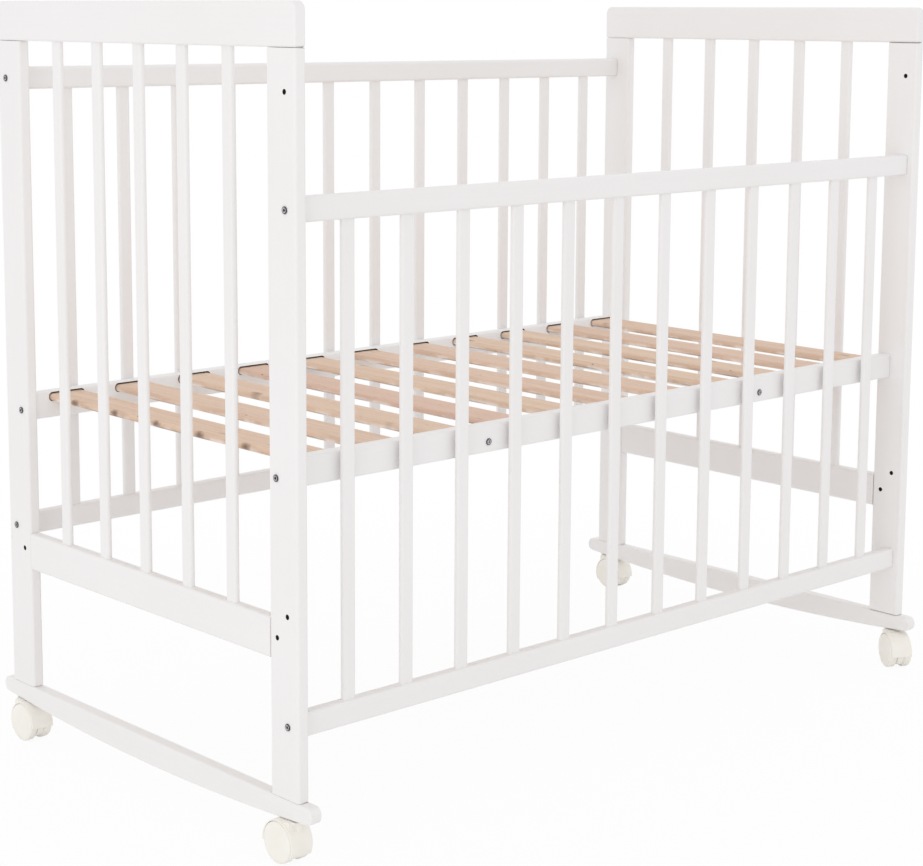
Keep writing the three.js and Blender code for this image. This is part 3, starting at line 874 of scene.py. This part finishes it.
caster = {
    "places": {
        "front_left": (-610.5, -315, 90),
        "back_left": (-610.5, 315, -90),
        "front_right": (610.5, -315, -122),
        "back_right": (610.5, 315, -90),
    },
    "trail": 18,
    "axleHeight": 26.67,
    "axleReach": 17.1,
    "wheelRadius": 26.66,
    "wheelWidth": 15,
    "dome": 3,
    "domeShare": 0.97,  # of the half circle that the dome follows out to its rim
    "fillet": 3.2,
    "filletTurn": 64,  # degrees from the tread to the dome
    "taper": 2.6,  # fall of the tread towards the web
    "wheelInner": 5.1,
    "boreRadius": 4.15,
    "boreDepth": 12.2,
    "webThickness": 9.8,
    "webRadius": 25.4,
    "webBottom": 7.5,
    "webInset": 3,  # degrees that its upper part ends before the fender does
    "axleRadius": 4,
    "fenderInner": 27,
    "fenderThickness": 2,
    "fenderWidth": 33.4,
    "fenderFront": 212,  # degrees round the axle from the rear
    "fenderRear": -8,
    "flare": 1.4,  # the fender grows thicker by this towards its rear edge
    "flareFrom": 50,
    "neck": (14.6, 8.4, 2.4),
    "flangeBase": 54.77,
    "hoodTop": 56.37,
    "flangeRadius": 10.5,
    "flangeCone": ((7.4, 2.6), (8.4, 1)),  # radius, and depth under the flange
    "shoulder": {"width": 28, "top": 56, "rounding": 1, "from": -3, "to": 12.5},
    "kingpinRadius": 3,
    "kingpinGap": 0.12,
    "kingpinTip": 39.4,
    "collar": (56.67, 57.97, 5),
    "stemRadius": 4,
    "stemTop": 73.8,
}


# Wheel round +y with its inner side at 0. The outer side is a dome: height = rim + dome x
# square root of (1 - share of the radius squared). A quarter round joins it to the tread.
def wheelShape():
    radius, width, taper = caster["wheelRadius"], caster["wheelWidth"], caster["taper"]
    bore, depth = caster["boreRadius"], caster["boreDepth"]
    rim, fillet = width - caster["dome"], caster["fillet"]

    def domeHeight(share):
        return rim + caster["dome"] * np.sqrt(1 - (caster["domeShare"] * share) ** 2)

    bend = np.radians(np.linspace(0, caster["filletTurn"], 8))
    domeRadius = radius - fillet * (1 - np.cos(bend[-1]))
    filletRise = domeHeight(1) - fillet * np.sin(bend[-1])
    rounded = [(radius - fillet * (1 - np.cos(t)), filletRise + fillet * np.sin(t))
               for t in bend]
    domed = [(domeRadius * share, domeHeight(share))
             for share in np.linspace(1, 0.02, 14)[1:]]
    profile = [(0.3, depth), (bore, depth), (bore, 0.3), (bore + 0.4, 0),
               (radius - taper - 0.5, 0), (radius - taper + 0.1, 0.3),
               (radius - 0.4, taper - 0.3), (radius, taper + 0.5), *rounded, *domed]
    return turn("y", profile, 96)


# Flat section carried round the axle, point = axle + radius (cos a, sin a), its ends eased
# as a board's are. Its outer side rises by flare x the square of the share of the way from
# flareFrom to the rear edge.
def arch(wide, inner, outer, corner, flare):
    middle = (inner + outer) / 2
    points, directions = roundedSection(wide, outer - inner, corner, steps=4, lead=0.2)
    span = np.radians(caster["fenderFront"] - caster["fenderRear"])
    place, pull = easedEnds(span * middle, 0.5, 3, 0.1)
    between = np.linspace(place[5], place[-6], 42)[1:-1]
    place = np.concatenate([place[:6], between, place[-6:]])
    pull = np.concatenate([pull[:6], np.zeros(len(between)), pull[-6:]])
    centre = np.radians(caster["fenderFront"] + caster["fenderRear"]) / 2
    angle = (centre - place / middle)[:, None]
    ring = points[None] - pull[:, None, None] * directions[None]
    start, rear = np.radians([caster["flareFrom"], caster["fenderRear"]])
    bent = flare * np.clip((start - angle) / (start - rear), 0, 1) ** 2
    reach = middle + ring[..., 1] + bent * (ring[..., 1] > 0)
    grid = np.stack([caster["trail"] + reach * np.cos(angle), ring[..., 0],
                     caster["axleHeight"] + reach * np.sin(angle)], -1)
    return skin(grid)


# Web between the wheels: a disc that reaches up into the fender where that covers it, and
# is cut off flat above the floor
def webShape(fenderMiddle):
    angle, inset = np.arange(-180, 180, 5), caster["webInset"]  # degrees from upright
    covered = ((angle > 90 + inset - caster["fenderFront"])
               & (angle < 90 - inset - caster["fenderRear"]))
    circle = np.stack([np.cos(np.radians(angle)), np.sin(np.radians(angle))], 1)
    outline = np.where(covered, fenderMiddle - 0.3, caster["webRadius"])[:, None] * circle
    lowest = caster["webBottom"] - caster["axleHeight"]
    outline[:, 0] = np.maximum(outline[:, 0], lowest)
    return sweep("y", (outline, circle), easedEnds(caster["webThickness"], 0.8),
                 (caster["trail"], 0, caster["axleHeight"]))


# Low block between the fender and the flange. Its underside follows the middle of the
# fender: point = axle + radius (cos a, sin a).
def shoulderShape(fenderMiddle):
    block, trail = caster["shoulder"], caster["trail"]
    low, high, top, rounding = (block[part] for part in ("from", "to", "top", "rounding"))
    under = np.arccos((np.linspace(high, low, 12) - trail) / fenderMiddle)
    across = np.stack([np.sin(under), np.cos(under)], 1)
    outline = joinedOutline([
        cornerArc((top - rounding, low + rounding), rounding, -90, 0, 4, 0.1),
        cornerArc((top - 0.3, high - 0.3), 0.3, 0, 90, 3, 0.05),
        ((caster["axleHeight"], trail) + fenderMiddle * across, -across),
    ])
    return sweep("y", outline, easedEnds(block["width"], 0.1, 2, 0.05))


# The web, what is joined to it, and the bore for the kingpin
def hoodShapes():
    height, trail = caster["axleHeight"], caster["trail"]
    inner, outer = caster["fenderInner"], caster["fenderInner"] + caster["fenderThickness"]
    middle = (inner + outer) / 2
    reach, radius = caster["axleReach"], caster["axleRadius"]
    axle = turn("y", [(0.3, -reach), (radius - 0.4, -reach), (radius, 0.4 - reach),
                      (radius, reach - 0.4), (radius - 0.4, reach), (0.3, reach)],
                32, centre=(trail, 0, height))
    fender = arch(caster["fenderWidth"], inner, outer, 0.6, caster["flare"])
    base, top, rim = caster["flangeBase"], caster["hoodTop"], caster["flangeRadius"]
    wide, deep, corner = caster["neck"]
    neck = sweep("z", roundedSection(deep, wide, corner), easedEnds(base + 0.5 - height, 0.3),
                 (0, 0, (base + 0.5 + height) / 2))
    (tipRadius, tipDepth), (coneRadius, coneDepth) = caster["flangeCone"]
    flange = turn("z", [(0.3, base - tipDepth), (tipRadius, base - tipDepth),
                        (coneRadius, base - coneDepth), (rim - 0.6, base), (rim, base + 0.5),
                        (rim, top - 0.4), (rim - 0.4, top), (0.3, top)], 48)
    pin, tip = caster["kingpinRadius"] + caster["kingpinGap"], caster["kingpinTip"] - 0.3
    bore = turn("z", [(0.2, tip), (pin, tip), (pin, top + 1), (0.2, top + 1)], 32)
    additions = [axle, fender, moved(neck, 90), flange, shoulderShape(middle)]
    # turned a little, so that no corner of the bore lies on an edge of the flange
    return webShape(middle), additions, moved(bore, 2)


def stemShape():
    tip, pin, top = caster["kingpinTip"], caster["kingpinRadius"], caster["stemTop"]
    low, high, wide = caster["collar"]
    stem = caster["stemRadius"]
    return turn("z", [(0.3, tip), (pin - 0.3, tip), (pin, tip + 0.3), (pin, low),
                      (wide - 0.3, low), (wide, low + 0.3), (wide, high - 0.3),
                      (wide - 0.3, high), (stem, high), (stem, top - 0.4),
                      (stem - 0.4, top), (0.3, top)], 40)


# The hood is moulded once at the origin; the four casters carry turned copies
def hoodMesh():
    disc, additions, bore = hoodShapes()
    hood = newObject("moulding", disc, nylon)
    combined(hood, "UNION", additions, nylon)
    mesh = combined(hood, "DIFFERENCE", [bore], nylon).data
    bpy.data.objects.remove(hood)
    return mesh


def makeCaster(corner, x, y, degrees, moulding):
    node = f"caster_{corner}"

    def placed(shape):
        return moved(shape, degrees, (x, y, 0))

    stem = newObject(pieceName(f"{node}_stem"), placed(stemShape()), zinc)
    handIn(stem, "frame", f"{node}_stem")
    hood = bpy.data.objects.new(pieceName(f"{node}_hood"), moulding.copy())
    bpy.context.scene.collection.objects.link(hood)
    turning = Matrix.Rotation(np.radians(degrees), 4, "Z")
    hood.data.transform(Matrix.Translation(Vector((x, y, 0)) * metre) @ turning)
    handIn(hood, f"{corner}_caster", f"{node}_hood")
    for number, turned in ((1, 0), (2, 180)):
        wheel = moved(wheelShape(), 0, (0, caster["wheelInner"], 0))
        wheel = moved(wheel, turned, (caster["trail"], 0, caster["axleHeight"]))
        wheelNode = f"{node}_wheel_{number}"
        piece = newObject(pieceName(wheelNode), placed(wheel), nylon)
        handIn(piece, f"{corner}_wheel_{number}", wheelNode)


moulding = hoodMesh()
for corner, (x, y, degrees) in caster["places"].items():
    makeCaster(corner, x, y, degrees, moulding)

print("studio")

studio = {
    "world": 0.91,
    "floorHalf": 30000,
    "floorColour": light(249, 249, 249),
    "floorLift": 0.93,  # share of plain white near the object, where its shadow falls
    "clearFrom": 800,  # the floor turns from shadow-catching to plain white over this range
    "clearTo": 1500,
    "keyPower": 2,
    "keyPlace": (2200, -3400, 300),
    "keySize": 2600,
    "fillPower": 28,
    "fillPlace": (-4600, -1900, 500),
    "fillSize": 2600,
    "aim": (0, 0, 450),
}


def softbox(name, place, size, power):
    data = bpy.data.lights.new(name, "AREA")
    data.shape = "SQUARE"
    data.size = size * metre
    data.energy = power
    lamp = bpy.data.objects.new(name, data)
    bpy.context.scene.collection.objects.link(lamp)
    lamp.location = Vector(place) * metre
    aim = Vector(studio["aim"]) * metre - lamp.location
    lamp.rotation_mode = "QUATERNION"
    lamp.rotation_quaternion = aim.to_track_quat("-Z", "Y")


def seenDirectly(board):
    path = {name: board.node("ShaderNodeLightPath", {}, {}, name)
            for name in ("Is Camera Ray", "Is Glossy Ray", "Is Transmission Ray")}
    seen = board.math("MAXIMUM", path["Is Camera Ray"], path["Is Glossy Ray"])
    return board.math("MAXIMUM", seen, path["Is Transmission Ray"])


def makeWorld():
    world = bpy.data.worlds.new("studio")
    bpy.context.scene.world = world
    world.use_nodes = True
    world.node_tree.nodes.clear()
    board = Wire(world.node_tree)
    seen = seenDirectly(board)
    strength = seen * (1 - studio["world"]) + studio["world"]
    sky = board.node("ShaderNodeBackground", {}, {"Color": (1, 1, 1, 1), "Strength": strength})
    board.node("ShaderNodeOutputWorld", {}, {"Surface": sky})


def makeFloor():
    half = studio["floorHalf"]
    corners = np.array([[-half, -half, 0], [half, -half, 0], [half, half, 0], [-half, half, 0]])
    material, board = newMaterial("studioFloor")
    seen = seenDirectly(board)
    matt = board.node("ShaderNodeBsdfDiffuse", {}, {"Color": studio["floorColour"]})
    glow = board.node("ShaderNodeEmission", {}, {"Color": (1, 1, 1, 1), "Strength": 1.0})
    reach = objectPlace(board).length()
    clear = reach.slope(studio["clearFrom"] * metre, studio["clearTo"] * metre)
    lift = studio["floorLift"] + (1 - studio["floorLift"]) * clear
    lifted = board.node("ShaderNodeMixShader", {}, {0: seen * lift, 1: matt, 2: glow})
    board.node("ShaderNodeOutputMaterial", {}, {"Surface": lifted})
    shape = {"points": corners, "faces": [[0, 1, 2, 3]], "turned": None}
    newObject("floor", shape, material)


makeWorld()
makeFloor()
softbox("keyBox", studio["keyPlace"], studio["keySize"], studio["keyPower"])
softbox("fillBox", studio["fillPlace"], studio["fillSize"], studio["fillPower"])
bpy.context.scene.view_settings.view_transform = "Standard"
